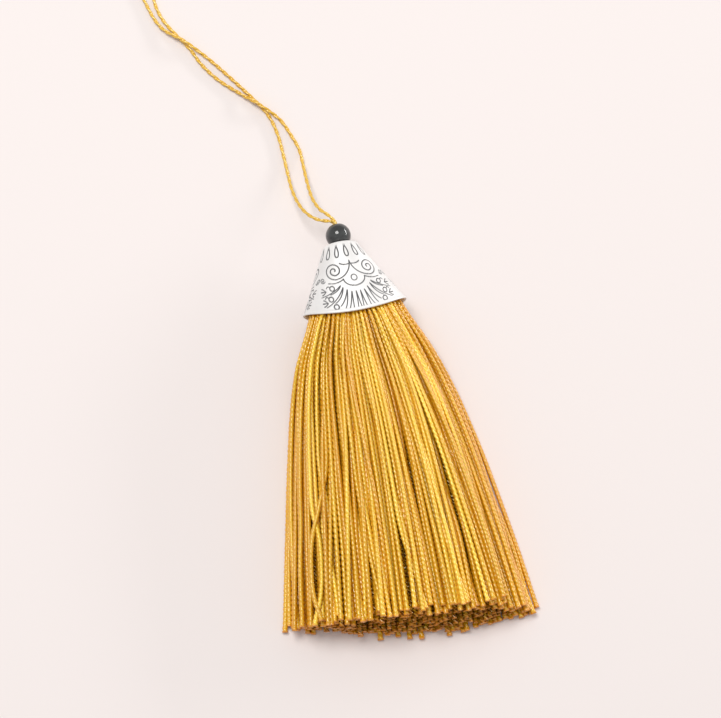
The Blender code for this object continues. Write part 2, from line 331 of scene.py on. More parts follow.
def edit(obj):
    """Edit mode on this object alone, with nothing selected in it."""
    deselect_all()
    bpy.context.view_layer.objects.active = obj
    obj.select_set(True)
    bpy.ops.object.mode_set(mode="EDIT")
    bpy.ops.mesh.select_mode(type="VERT")
    bpy.ops.mesh.select_all(action="DESELECT")
    return bmesh.from_edit_mesh(obj.data)


def close_edit():
    """Turns every face of the open mesh outward and leaves edit mode."""
    bpy.ops.mesh.select_all(action="SELECT")
    bpy.ops.mesh.normals_make_consistent(inside=False)
    bpy.ops.object.mode_set(mode="OBJECT")


def finish_piece(obj, slot, *nodes):
    """The piece rides on the one body and stands for CAD nodes, which are hidden; slot is not used.
    """
    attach(obj, "root")
    if nodes:
        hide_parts(*nodes)


# ---------------------------------------------------------------- view


def make_camera():
    back = Vector(
        (
            math.sin(VIEW_AZIMUTH) * math.cos(VIEW_ELEVATION),
            -math.cos(VIEW_AZIMUTH) * math.cos(VIEW_ELEVATION),
            math.sin(VIEW_ELEVATION),
        )
    )
    data = bpy.data.cameras.new("camera")
    data.lens = VIEW_LENS
    data.sensor_width = VIEW_SENSOR_WIDTH
    camera = new_object("camera", data)
    camera.location = VIEW_TARGET + back * VIEW_DISTANCE
    camera.rotation_mode = "QUATERNION"
    camera.rotation_quaternion = (-back).to_track_quat("-Z", "Y")
    bpy.context.scene.camera = camera


# ---------------------------------------------------------------- twisted strands


def frames_along(paths):
    """Unit side and up vectors at each point of paths that run about level."""
    along = np.gradient(paths, axis=1)
    along /= np.linalg.norm(along, axis=2, keepdims=True)
    side = np.cross(along, (0.0, 0.0, 1.0))
    side /= np.linalg.norm(side, axis=2, keepdims=True)
    return side, np.cross(side, along)


def run_along(paths):
    """Length from the start of each path to each of its points."""
    steps = np.linalg.norm(np.diff(paths, axis=1), axis=2)
    return np.concatenate([np.zeros((len(paths), 1)), np.cumsum(steps, axis=1)], axis=1)


# sections through two round plies side by side, by their number of corners:
# the angles of the corners, their radii, and which of them lie in the groove
SECTIONS = {
    6: (
        (0, 60, 120, 180, 240, 300),
        (1.0, 0.82, 0.82, 1.0, 0.82, 0.82),
        (),
    ),
    8: (
        (0, 48, 90, 132, 180, 228, 270, 312),
        (1.0, 0.93, 0.76, 0.93, 1.0, 0.93, 0.76, 0.93),
        (2, 6),
    ),
    12: (
        (0, 30, 58, 90, 122, 150, 180, 210, 238, 270, 302, 330),
        (1.0, 0.95, 0.78, 0.40, 0.78, 0.95, 1.0, 0.95, 0.78, 0.40, 0.78, 0.95),
        (3, 9),
    ),
}
STRAND_SHARP_EDGE = math.radians(75)


def two_ply_section(corners):
    """Angle and radius of each corner, and 1 for those in the groove."""
    turns, radii, groove = SECTIONS[corners]
    in_groove = np.zeros(corners)
    in_groove[list(groove)] = 1.0
    return np.radians(turns), np.array(radii), in_groove


def twisted_mesh(name, paths, lay, start_turn, radius, corners, looks):
    """One mesh of many two-ply strands. paths is strands x points x 3, and radius strands x points.

    looks holds two values for each of those points: how pale the silk is, painted light and shade
    included, and how much it looks cut. They are the red and blue of the attribute strand_look,
    and its green is 1 in the groove, where the finish paints shade.
    """
    strands, points = paths.shape[:2]
    turns, radii, in_groove = two_ply_section(corners)
    side, up = frames_along(paths)
    run = run_along(paths)
    turn = math.tau * run / lay[:, None] + start_turn[:, None]
    angle = turn[..., None] + turns
    reach = radius[..., None] * radii
    across = (reach * np.cos(angle))[..., None] * side[:, :, None]
    height = (reach * np.sin(angle))[..., None] * up[:, :, None]
    verts = (paths[:, :, None] + across + height).reshape(-1, 3)

    index = np.arange(strands * points * corners).reshape(strands, points, corners)
    beside = np.roll(index, -1, axis=2)
    quads = np.stack([index[:, :-1], index[:, 1:], beside[:, 1:], beside[:, :-1]], axis=-1)
    quads = quads.reshape(-1, 4)
    ends = np.concatenate([index[:, 0], index[:, -1, ::-1]])

    mesh = bpy.data.meshes.new(name)
    mesh.vertices.add(len(verts))
    mesh.vertices.foreach_set("co", verts.astype(np.float32).ravel())
    loops = np.concatenate([quads.ravel(), ends.ravel()])
    mesh.loops.add(len(loops))
    mesh.loops.foreach_set("vertex_index", loops.astype(np.int32))
    end_starts = len(quads) * 4 + np.arange(len(ends)) * corners
    starts = np.concatenate([np.arange(len(quads)) * 4, end_starts])
    mesh.polygons.add(len(starts))
    mesh.polygons.foreach_set("loop_start", starts.astype(np.int32))

    # once round the strand, and centimetres along it
    around = np.arange(corners) / corners
    u = np.stack([around, around, around + 1 / corners, around + 1 / corners], -1)
    u = np.broadcast_to(u, (strands, points - 1, corners, 4))
    v = np.stack([run[:, :-1], run[:, 1:], run[:, 1:], run[:, :-1]], -1)[:, :, None]
    v = np.broadcast_to(v, u.shape)
    flat = np.zeros((len(loops), 2))
    flat[: u.size, 0] = u.ravel()
    flat[: u.size, 1] = v.ravel() / MM / 10.0
    layer = mesh.uv_layers.new(name="along")
    layer.data.foreach_set("uv", flat.astype(np.float32).ravel())

    colours = np.ones((strands, points, corners, 4))
    colours[..., 0] = looks[0][..., None]
    colours[..., 1] = in_groove
    colours[..., 2] = looks[1][..., None]
    attribute = mesh.color_attributes.new("strand_look", "FLOAT_COLOR", "POINT")
    attribute.data.foreach_set("color", colours.astype(np.float32).ravel())
    mesh.update(calc_edges=True)
    mesh.validate()
    mesh.shade_smooth()
    mesh.set_sharp_from_angle(angle=STRAND_SHARP_EDGE)
    return mesh


# ---------------------------------------------------------------- cord


def smooth_route(route, fineness=24):
    """A smooth line through the points of a route, with so many steps from each to the next."""
    points = [Vector(p) for p in route]
    dense = []
    for i in range(len(points) - 1):
        before = points[max(i - 1, 0)]
        start = points[i]
        end = points[i + 1]
        after = points[min(i + 2, len(points) - 1)]
        length = (end - start).length
        leaving = (end - before).normalized() * length / 3.0
        arriving = (after - start).normalized() * length / 3.0
        dense += interpolate_bezier(start, start + leaving, end - arriving, end, fineness)[:-1]
    return np.array(dense + [points[-1]])


def make_cord(finish):
    dense = smooth_route(CORD_ROUTE)
    dense[:, 2] = np.maximum(dense[:, 2], CORD_LYING)
    run = run_along(dense[None])[0]
    length = run[-1]
    count = int(length / (CORD_LAY / CORD_RINGS_PER_TURN)) + 1
    even = np.linspace(0.0, length, count)
    path = np.stack([np.interp(even, run, dense[:, k]) for k in range(3)], axis=1)[None]
    radius = np.full((1, count), CORD_DIAMETER / 2)
    tone = CORD_TONE + CORD_TONE_ALONG * np.sin(even / CORD_TONE_LENGTH)[None]
    looks = (tone, np.zeros((1, count)))
    mesh = twisted_mesh("cord", path, np.array([CORD_LAY]), np.zeros(1), radius, 12, looks)
    mesh.materials.append(finish)
    cord = new_object("cord", mesh)
    finish_piece(cord, "cord_gold", "cord_loop")


# ---------------------------------------------------------------- skirt


def thread_places():
    """Column and place of each thread at the mouth, and how many its column holds."""
    rows = []
    for column in range(-THREAD_COLUMNS, THREAD_COLUMNS + 1):
        across = column / THREAD_COLUMNS
        tall = THREADS_IN_MIDDLE_COLUMN * math.sqrt(1.0 - OVAL_ROUNDNESS * across**2)
        count = max(2 * int(tall / 2.0) + 1, 3)
        rows += [(column, place, count) for place in range(count)]
    return np.array(rows, float).T


def bundle_form(column, place, count, distance):
    """Middle x and z of each thread at each distance, before it strays: distances x threads.

    Inside the cap the columns fill an oval. Down the skirt each parts into two files, its odd
    and its even threads, which lie beside each other, and the oval comes down into a flat dome.
    """
    middle_x, half_width, dome, oval_half, step, files, middle_down, edge_down = (
        smooth_table(BUNDLE, k, distance)[:, None] for k in range(1, 9)
    )
    across = column / THREAD_COLUMNS
    odd = place % 2
    pitch = (half_width - THREAD_RADIUS) / THREAD_COLUMNS
    x = middle_x + pitch * (column + step * (2 * odd - 1) / 4.0)
    share = place / (count - 1)
    in_odd_file = np.clip((place - 1) / np.maximum(count - 3, 1), 0, 1)
    in_file = np.where(odd == 1, in_odd_file, share)
    from_top = np.clip(1.0 - mix(share, in_file, files), 0.0, 1.0)
    share = 1.0 - from_top ** (1.0 + TOP_CLOSENESS * files)
    axis_z = CAP_AXIS_Z - np.minimum(distance, 0.0)[:, None] * math.tan(CAP_TILT)
    oval = axis_z + oval_half * np.sqrt(1.0 - OVAL_ROUNDNESS * across**2) * (2.0 * share - 1.0)
    low = THREAD_RADIUS
    high = dome * np.sqrt(1.0 - DOME_ROUNDNESS * across**2) - THREAD_RADIUS
    down = mix(middle_down, edge_down, across**2)
    return x, mix(oval, mix(low, high, share), down)


def wander(column, place, count, distance):
    """How threads stray: locks that draw together, their own slow waves, and some that cross."""
    threads = len(column)
    across = column / THREAD_COLUMNS
    share = place / (count - 1)
    d = distance[:, None]
    loose = smooth_step(d, *STRAY_BETWEEN)
    x = np.zeros((len(distance), threads))
    z = np.zeros_like(x)
    lift, more_turns, more_drift, more_phase = LOCK_LIFT
    for size, turns, drift in LOCK_WAVES:
        phase = rng.uniform(0, math.tau)
        x += size * np.sin(math.pi * turns * across + drift * d + LOCK_LEAN * share + phase)
        rolling = math.pi * turns * across * more_turns + more_drift * drift * d
        z += lift * size * np.sin(rolling + more_phase * phase)
    for size, length in THREAD_WAVES:
        phase = rng.uniform(0, math.tau, (2, threads))
        stretch = rng.uniform(*THREAD_WAVE_STRETCH, threads)
        x += size * np.sin(math.tau * d / (length * stretch) + phase[0])
        z += THREAD_LIFT * size * np.sin(math.tau * d / (length * stretch) + phase[1])
    crossing = np.where(share > CROSSING_LAYERS)[0]
    crossing = rng.choice(crossing, CROSSING_THREADS, replace=False)
    start = rng.uniform(*CROSSING_STARTS, CROSSING_THREADS)
    stray = rng.uniform(*CROSSING_STRAY, CROSSING_THREADS)
    stray = stray * rng.choice((-1.0, 1.0), CROSSING_THREADS)
    outside = np.abs(across[crossing]) > CROSSING_TURNED_BACK
    stray = np.where(outside, -np.abs(stray) * np.sign(across[crossing]), stray)
    x[:, crossing] += stray * smooth_step(d, start, start + 0.045)
    z[:, crossing] += CROSSING_RISE * smooth_step(d, start, start + 0.012)
    for middle, half_width, begins, drawn, raised in RAISED_LOCKS:
        near = 1.0 - smooth_step(np.abs(across - middle), half_width, half_width + RAISED_EDGE)
        near = near * (share > RAISED_LAYERS)
        x += near * drawn * smooth_step(d, begins, begins + 0.040)
        z += near * raised * smooth_step(d, begins, begins + 0.015)
    return x * loose, z * loose, crossing


def cap_section(taper):
    """Half width, half height and middle x of the cap, at a share of the way to its shoulder."""
    wide = mix(MOUTH_HALF_WIDTH, SHOULDER_RADIUS, taper)
    tall = mix(MOUTH_HALF_HEIGHT, SHOULDER_RADIUS, taper)
    return wide, tall, mix(MOUTH_X, CAP_TOP_X, taper)


def scallop(before_shoulder, turned):
    """How far the cap's side is drawn down the skirt: most where turned is 1 or -1."""
    return MOUTH_SCALLOP * before_shoulder**SCALLOP_FADE * turned**2


def inside_cap(x, z, distance):
    """Draws in the threads that would touch the cap's wall, and lets them rise past its lip."""
    along = -distance[:, None] * math.cos(CAP_TILT) + (z - CAP_AXIS_Z) * math.sin(CAP_TILT)
    up = distance[:, None] * math.sin(CAP_TILT) + (z - CAP_AXIS_Z) * math.cos(CAP_TILT)
    taper = along / SHOULDER_HEIGHT
    # the place of a point on the cap's side follows from its height there, so it is closed in on
    for _ in range(4):
        wide, tall, middle_x = cap_section(taper)
        across = x - middle_x
        turned = np.sin(np.arctan2(up / tall, across / wide))
        height = along + scallop(np.clip(1.0 - taper, 0.0, 1.0), turned)
        taper = height / SHOULDER_HEIGHT
    taken = CAP_WALL + THICKEST_IN_CAP * THREAD_RADIUS + WALL_CLEARANCE
    taken = taken - RISE_PAST_LIP * np.maximum(-height, 0.0)
    share = np.minimum(1.0 / np.hypot(across / (wide - taken), up / (tall - taken)), 1.0)
    return x - across * (1.0 - share), z - up * (1.0 - share) * math.cos(CAP_TILT)


def settle(x, z, base_x, base_z, distance, skin):
    """Moves threads apart that lie in each other, and keeps their lines smooth.

    They stay above the surface and inside the cap. skin holds the numbers of the threads on
    top, which also spread to close the gaps between them.
    """
    free = smooth_step(distance, *FREE_BETWEEN)[:, None]
    keep = THREAD_SPACING * np.interp(distance, *LOOSENING)[:, None, None]
    own, beside = LINE_WEIGHTS
    for _ in range(SETTLING_ROUNDS):
        across = x[:, :, None] - x[:, None, :]
        above = z[:, :, None] - z[:, None, :]
        apart = np.sqrt(across**2 + above**2) + 1e-9
        push = PUSH * np.clip(keep - apart, 0.0, None) / apart
        x = x + free * (push * across).sum(axis=2)
        z = z + free * (push * above).sum(axis=2)
        order = np.argsort(x[:, skin], axis=1)
        lined = np.take_along_axis(x[:, skin], order, axis=1)
        spread = np.zeros_like(lined)
        halfway = (lined[:, :-2] + lined[:, 2:]) / 2.0
        spread[:, 1:-1] = SKIN_EVENNESS * (halfway - lined[:, 1:-1])
        shift = np.zeros_like(lined)
        np.put_along_axis(shift, order, spread, axis=1)
        x[:, skin] += free * shift
        stray_x = x - base_x
        stray_z = z - base_z
        for stray in (stray_x, stray_z):
            stray[1:-1] = own * stray[1:-1] + beside * (stray[:-2] + stray[2:])
        x, z = inside_cap(base_x + stray_x, base_z + stray_z, distance)
        z = np.maximum(z, THREAD_RADIUS)
    return x, z


def make_threads(finish):
    """The skirt's threads, settled together, then made as four meshes that show and one inside."""
    column, place, count = thread_places()
    threads = len(column)
    base_x, base_z = bundle_form(column, place, count, DISTANCES)
    stray_x, stray_z, crossing = wander(column, place, count, DISTANCES)
    skin = np.setdiff1d(np.where(place >= count - SKIN_LAYERS)[0], crossing)
    x, z = settle(base_x + stray_x, base_z + stray_z, base_x, base_z, DISTANCES, skin)

    across = column / THREAD_COLUMNS
    share = place / (count - 1)
    low = np.interp(across, CUT[:, 0], CUT[:, 1])
    high = np.interp(across, CUT[:, 0], CUT[:, 2])
    reach = mix(low, high, share) + rng.normal(0.0, CUT_SCATTER, threads)
    longer = rng.choice(threads, LONGER_THREADS, replace=False)
    reach[longer] += rng.uniform(*LONGER_BY, LONGER_THREADS)

    lay = THREAD_LAY * rng.uniform(*LAY_SPREAD, threads)
    start_turn = rng.uniform(0.0, math.tau, threads)
    size = rng.uniform(*SIZE_SPREAD, threads)
    # painted light and shade: locks across the skirt made paler and deeper
    lock = 0.5 * np.sin(9.0 * across + 1.9) + 0.5 * np.sin(17.0 * across + 2.3 * share)
    tone = TONE + LOCK_LIGHT_AND_SHADE * lock + rng.normal(0.0, TONE_SCATTER, threads)
    # painted highlight on the raised locks
    for middle, half_width, *_ in RAISED_LOCKS:
        tone += RAISED_LOCK_HIGHLIGHT * (np.abs(across - middle) < half_width) * (share > RAISED_LAYERS)
    # painted shade on the threads inside the bundle
    buried = (place >= SKIN_LAYERS) & (place < count - SKIN_LAYERS)
    tone = np.where(buried, tone - BURIED_SHADE, tone)
    slow_turn = rng.uniform(0, math.tau, threads)

    shows = (place >= count - SHOWN_LAYERS) | (place < SKIN_LAYERS) | (np.abs(across) > SHOWN_EDGES)
    groups = {
        "threads_left": shows & (across < -MIDDLE_PARTS),
        "threads_middle_left": shows & (across >= -MIDDLE_PARTS) & (across < 0.0),
        "threads_middle_right": shows & (across >= 0.0) & (across < MIDDLE_PARTS),
        "threads_right": shows & (across >= MIDDLE_PARTS),
        "threads_inside": ~shows,
    }
    top = DISTANCES[0]
    for name, chosen in groups.items():
        outer = name != "threads_inside"
        corners = OUTER_CORNERS if outer else INNER_CORNERS
        rings = int(THREAD_RUN / (OUTER_STEP if outer else INNER_STEP))
        at = top + (reach[chosen, None] - top) * np.linspace(0.0, 1.0, rings)
        line_x = smooth_lines(x[:, chosen], DISTANCES, at)
        line_z = smooth_lines(z[:, chosen], DISTANCES, at)
        left = reach[chosen, None] - at
        frayed = 1.0 + FRAY * smooth_step(-left, -FRAY_LENGTH, 0.0)
        radius = THREAD_RADIUS * size[chosen, None] * frayed
        radius *= np.interp(at, *LOOSENING)
        paths = np.stack([line_x, MOUTH_Y - at, np.maximum(line_z, radius)], axis=2)
        slow = TONE_ALONG * np.sin(math.tau * at / TONE_ALONG_LENGTH + slow_turn[chosen, None])
        shade = np.clip(tone[chosen, None] + slow, 0.0, 1.0)
        cut = smooth_step(-left, -CUT_LOOK[0], -CUT_LOOK[1])
        mesh = twisted_mesh(
            name, paths, lay[chosen], start_turn[chosen], radius, corners, (shade, cut)
        )
        mesh.materials.append(finish)
        finish_piece(new_object(name, mesh), "silk_gold", "skirt")


def on_axis(height, across=0.0, up=0.0):
    """A point given along the cap's tilted and leaning axis, and sideways from it."""
    lean = mix(MOUTH_X, CAP_TOP_X, min(height / SHOULDER_HEIGHT, 1.0))
    tilted = Matrix.Rotation(CAP_TILT, 3, "X") @ Vector((across, height, up))
    return tilted + Vector((lean, MOUTH_Y, CAP_AXIS_Z))


def make_bound_head(finish):
    """The bound roots inside the cap: a disc drawn out along the axis, ridged by its threads."""
    deselect_all()
    bpy.ops.mesh.primitive_circle_add(vertices=2 * HEAD_RIDGES, radius=1.0, fill_type="NGON")
    head = bpy.context.object
    head.name = "bound_head"
    edit(head)
    bpy.ops.mesh.select_all(action="SELECT")
    for _ in HEAD_PROFILE[1:]:
        bpy.ops.mesh.extrude_region_move(TRANSFORM_OT_translate={"value": (0.0, 0.0, 1.0)})
    bpy.ops.object.mode_set(mode="OBJECT")
    for vert in head.data.vertices:
        height, wide = HEAD_PROFILE[min(int(round(vert.co.z)), len(HEAD_PROFILE) - 1)]
        angle = math.atan2(vert.co.y, vert.co.x)
        size = math.hypot(vert.co.x, vert.co.y)
        ridged = wide * size * (1.0 + HEAD_RIDGE_DEPTH * math.cos(HEAD_RIDGES * angle))
        across = HEAD_HALF_WIDTH * ridged * math.cos(angle)
        vert.co = on_axis(height, across, HEAD_HALF_HEIGHT * ridged * math.sin(angle))
    edit(head)
    close_edit()
    head.data.materials.append(finish)
    head.data.shade_smooth()
    finish_piece(head, "silk_gold")


# ---------------------------------------------------------------- cap


def cone_radius(height):
    """Radius of the cap before its mouth was pressed oval."""
    taper = np.clip(height / SHOULDER_HEIGHT, None, 1.0)
    return mix((MOUTH_HALF_WIDTH + MOUTH_HALF_HEIGHT) / 2.0, SHOULDER_RADIUS, taper)


def stroke(points, wide):
    """Even points of an engraved line, each with its half width: wide may be a pair to taper it."""
    points = np.array(points, float)
    run = run_along(points[None])[0]
    even = np.linspace(0.0, run[-1], max(int(run[-1] / STROKE_STEP), 2))
    start, end = wide if isinstance(wide, tuple) else (wide, wide)
    line = [np.interp(even, run, points[:, 0]), np.interp(even, run, points[:, 1])]
    return np.stack([*line, np.linspace(start, end, len(even)) / 2.0], axis=1)


def bend(start, pull_start, pull_end, end, count=24):
    """A plain curved line between two points, drawn toward two pulls."""
    flat = [Vector((*p, 0.0)) for p in (start, pull_start, pull_end, end)]
    return [(p.x, p.y) for p in interpolate_bezier(*flat, count)]


def ring(centre, wide, tall, start=0.0, turn=360.0, count=40):
    """An oval or a part of one. Angles in degrees, clockwise down the cap from the right."""
    angles = np.radians(np.linspace(start, start + turn, count))
    return [(centre[0] + wide * math.cos(a), centre[1] + tall * math.sin(a)) for a in angles]


def volute(centre, outer, inner, start, turn, count=90):
    """A scroll that winds inward. Angles in degrees, clockwise down the cap from the right."""
    share = np.linspace(0.0, 1.0, count)
    angles = np.radians(start + turn * share)
    size = mix(outer, inner, share)
    return list(zip(centre[0] + size * np.cos(angles), centre[1] + size * np.sin(angles)))


def half_motif():
    """Engraved lines of a motif's right half: millimetres across, and down from the top edge."""
    fine = 0.21
    plain = 0.25
    bold = 0.30
    lines = [
        stroke(bend((0.0, 5.2), (0.2, 7.5), (1.9, 9.1), (3.75, 9.1)), plain),
        stroke(volute((3.75, 7.1), 2.0, 0.25, 90.0, -650.0), (plain, bold)),
        stroke(bend((0.15, 5.9), (0.8, 6.15), (1.5, 6.05), (2.1, 5.6)), (fine, bold)),
        stroke(ring((0.0, 9.25), 2.17, 1.75, 0.0, 90.0), plain),
        stroke(bend((2.17, 9.25), (2.9, 9.75), (3.9, 10.15), (5.6, 9.75)), (plain, fine)),
        stroke(ring((0.0, 9.2), 0.58, 0.66, -90.0, 180.0), fine),
        stroke(volute((6.85, 8.9), 0.68, 0.14, 150.0, -520.0), fine),
    ]
    for across, down, curled in ((5.0, 11.0, True), (5.7, 13.35, True), (4.95, 15.1, False)):
        lines.append(stroke(ring((across, down), 0.50, 0.54), plain))
        if curled:
            pulls = (across + 0.7, down - 0.65), (across + 1.1, down - 0.65)
            curl = bend((across + 0.45, down - 0.25), *pulls, (across + 1.3, down - 0.15))
            lines.append(stroke(curl, fine))
    for down in (11.6, 14.2):
        for tip, bow in ((-0.75, -0.30), (0.0, -0.12), (0.70, 0.25)):
            end = (7.7 - 0.3 * abs(tip), down + tip)
            sprig = bend((6.5, down), (6.8, down + bow), (7.2, down + tip), end)
            lines.append(stroke(sprig, (fine, plain)))
    return lines


def rays():
    """A fan of forked leaves below the lobe, the outer ones curving away."""
    leaves = (
        # top, the two ends, and how far the leaf bows outward
        ((0.42, 12.3), (0.20, 15.6), (0.86, 15.7), 0.0),
        ((1.25, 12.2), (1.66, 15.7), (2.42, 15.6), 0.04),
        ((2.05, 11.7), (3.20, 15.5), (4.05, 15.0), -0.12),
        ((2.75, 11.1), (4.95, 14.3), (7.00, 15.1), -0.40),
        ((3.15, 10.6), (5.60, 12.35), (7.80, 12.8), -0.45),
    )
    lines = []
    for top, *ends, bow in leaves:
        for end in ends:
            near = (mix(top[0], end[0], 0.30) + bow, mix(top[1], end[1], 0.38))
            far = (mix(top[0], end[0], 0.62) + bow, mix(top[1], end[1], 0.78))
            lines.append(stroke(bend(top, near, far, end, 20), (0.25, 0.19)))
    return lines


def drop():
    """One drop of the row just under the top edge, narrower at its top."""
    middle, half_length, half_width = 2.80, 1.30, 0.47
    outline = []
    for angle in np.linspace(0.0, 360.0, 41):
        turn = math.radians(angle)
        down = middle - half_length * math.cos(turn)
        wide = half_width * math.sin(turn) * (0.55 + 0.45 * (down - 1.5) / 1.9)
        outline.append((wide, down))
    return stroke(outline, 0.28)


def repeated(angle, times):
    """The angle from the middle of the nearest of so many repeats round the cap."""
    step = math.tau / times
    return (angle + step / 2) % step - step / 2


def engraved_depth(angle, height):
    """0 on plain metal to 1 in an engraved line, at each angle from the first motif's middle."""
    down = (CAP_HEIGHT - height) / MM * SIDE_SLANT
    radius = cone_radius(height) / MM
    in_motif = np.abs(repeated(angle, MOTIFS)) * radius
    in_drop = repeated(angle, DROPS) * radius
    field = np.zeros(len(angle))
    motif = np.concatenate(half_motif() + rays())
    for lines, x in ((motif, in_motif), (drop(), in_drop)):
        tree = KDTree(len(lines))
        for i, point in enumerate(lines):
            tree.insert((point[0], point[1], 0.0), i)
        tree.balance()
        found = [tree.find((*place, 0.0)) for place in zip(x, down)]
        edge = lines[[nearest for _, nearest, _ in found], 2]
        far = np.array([away for _, _, away in found])
        field = np.maximum(field, 1.0 - smooth_step(far, edge - ENGRAVED_EDGE, edge + ENGRAVED_EDGE))
    return field


def make_cap(finish):
    """A profile spun round, its mouth pressed oval, and its side engraved."""
    top = CAP_HEIGHT
    inside_top = top - CAP_WALL
    hole = CAP_HOLE_RADIUS - SHOULDER_RADIUS
    # height, and how far outside the cone: over the top, down the side, round the lip and up inside
    profile = [
        (top - 0.0002, hole),
        (top, hole + 0.0002),
        (top, -0.0011),
        (top - 0.00006, -0.0008),
        (top - 0.0003, -0.00035),
        (top - 0.0007, -0.0001),
        (SHOULDER_HEIGHT - 0.0006, 0.0),
        (0.0004, 0.0),
        (0.0003, 0.00002),
        (0.0002, 0.00009),
        (0.0, 0.00015),
        (-0.0002, 0.00014),
        (-0.00035, 0.00005),
        (-0.0004, -0.0001),
        (-0.0004, -0.0003),
        (-0.0002, -0.00055),
        (0.0003, -CAP_WALL),
        (0.0055, -CAP_WALL),
        (0.0100, -CAP_WALL),
        (SHOULDER_HEIGHT - 0.0010, -CAP_WALL),
        (inside_top, hole + 0.0006),
        (inside_top, hole),
    ]
    mesh = bpy.data.meshes.new("cap_shell")
    side_ends = 6, 7  # of the profile, the two points between which the cap is engraved
    points = [(float(cone_radius(h)) + offset, h, 0.0) for h, offset in profile]
    count = len(points)
    mesh.from_pydata(points, [(i, (i + 1) % count) for i in range(count)], [])
    cap = new_object("cap_shell", mesh)
    shape = edit(cap)
    shape.verts.ensure_lookup_table()
    for i in side_ends:
        shape.verts[i].select_set(True)
    shape.select_flush(True)
    bpy.ops.mesh.subdivide(number_cuts=ENGRAVED_ROWS)
    bpy.ops.mesh.select_all(action="SELECT")
    bpy.ops.mesh.spin(steps=CAP_STEPS, angle=math.tau, center=(0, 0, 0), axis=(0, 1, 0))
    bpy.ops.mesh.select_all(action="SELECT")
    bpy.ops.mesh.remove_doubles(threshold=1e-6)
    close_edit()

    co = np.empty(len(mesh.vertices) * 3, np.float32)
    mesh.vertices.foreach_get("co", co)
    x, height, z = co.reshape(-1, 3).T.astype(float)
    turned = np.arctan2(z, x)
    angle = turned + STEPS_CLOSENESS * np.cos(turned)
    offset = np.hypot(x, z) - cone_radius(height)
    from_middle = math.pi / 2 - MOTIF_TURN - angle
    side = (offset > -0.0002) & (height > 0.0003)
    depth = np.zeros(len(x))
    depth[side] = engraved_depth(from_middle[side], height[side])
    dents = DENT_DEPTH * np.sin(3 * angle + 300 * height) * np.sin(5 * angle - 210 * height + 1.0)
    dents = dents * smooth_step(height, 0.0005, 0.0025)
    offset = np.where(side, offset - ENGRAVED_DEPTH * depth + dents, offset)
    taper = np.minimum(height / SHOULDER_HEIGHT, 1.0)
    wide, tall, middle_x = cap_section(taper)
    y = height - scallop(np.maximum(1.0 - taper, 0.0), np.sin(angle))
    flat = np.stack([(wide + offset) * np.cos(angle), y, (tall + offset) * np.sin(angle)], axis=1)
    tilted = flat @ np.array(Matrix.Rotation(CAP_TILT, 3, "X")).T
    tilted += np.stack([middle_x, np.full(len(x), MOUTH_Y), np.full(len(x), CAP_AXIS_Z)], 1)
    mesh.vertices.foreach_set("co", tilted.astype(np.float32).ravel())
    engraved = mesh.attributes.new("engraved", "FLOAT", "POINT")
    engraved.data.foreach_set("value", depth.astype(np.float32))
    mesh.update()
    mesh.shade_smooth()
    mesh.materials.append(finish)
    finish_piece(cap, "cap_silver", "cap")


# ---------------------------------------------------------------- bead


def make_bead(finish):
    """A ball whose two poles are opened and bridged into a bore with softened edges."""
    deselect_all()
    bpy.ops.mesh.primitive_uv_sphere_add(segments=64, ring_count=48, radius=BEAD_RADIUS)
    bead = bpy.context.object
    bead.name = "black_bead"
    bore_end = math.sqrt(BEAD_RADIUS**2 - BORE_RADIUS**2)
    sharp = math.radians(40)
    edit(bead)
    for sign in (-1, 1):
        bpy.ops.mesh.select_all(action="SELECT")
        bpy.ops.mesh.bisect(
            plane_co=(0.0, 0.0, sign * bore_end),
            plane_no=(0.0, 0.0, sign),
            clear_outer=True,
        )
    bpy.ops.mesh.select_all(action="DESELECT")
    shape = bmesh.from_edit_mesh(bead.data)
    for e in shape.edges:
        if e.is_boundary:
            e.select_set(True)
    bpy.ops.mesh.bridge_edge_loops(number_cuts=6)
    close_edit()
    soften = bead.modifiers.new("soften", "BEVEL")
    soften.width = BORE_SOFTNESS
    soften.segments = 3
    soften.limit_method = "ANGLE"
    soften.angle_limit = sharp
    bpy.ops.object.modifier_apply(modifier="soften")
    turn = Matrix.Rotation(CAP_TILT, 4, "X") @ Matrix.Rotation(-math.pi / 2, 4, "X")
    bead.data.transform(Matrix.Translation(on_axis(BEAD_HEIGHT)) @ turn)
    bead.data.shade_smooth()
    bead.data.set_sharp_from_angle(angle=sharp)
    bead.data.materials.append(finish)
    finish_piece(bead, "bead_black", "bead")


# ---------------------------------------------------------------- finishes


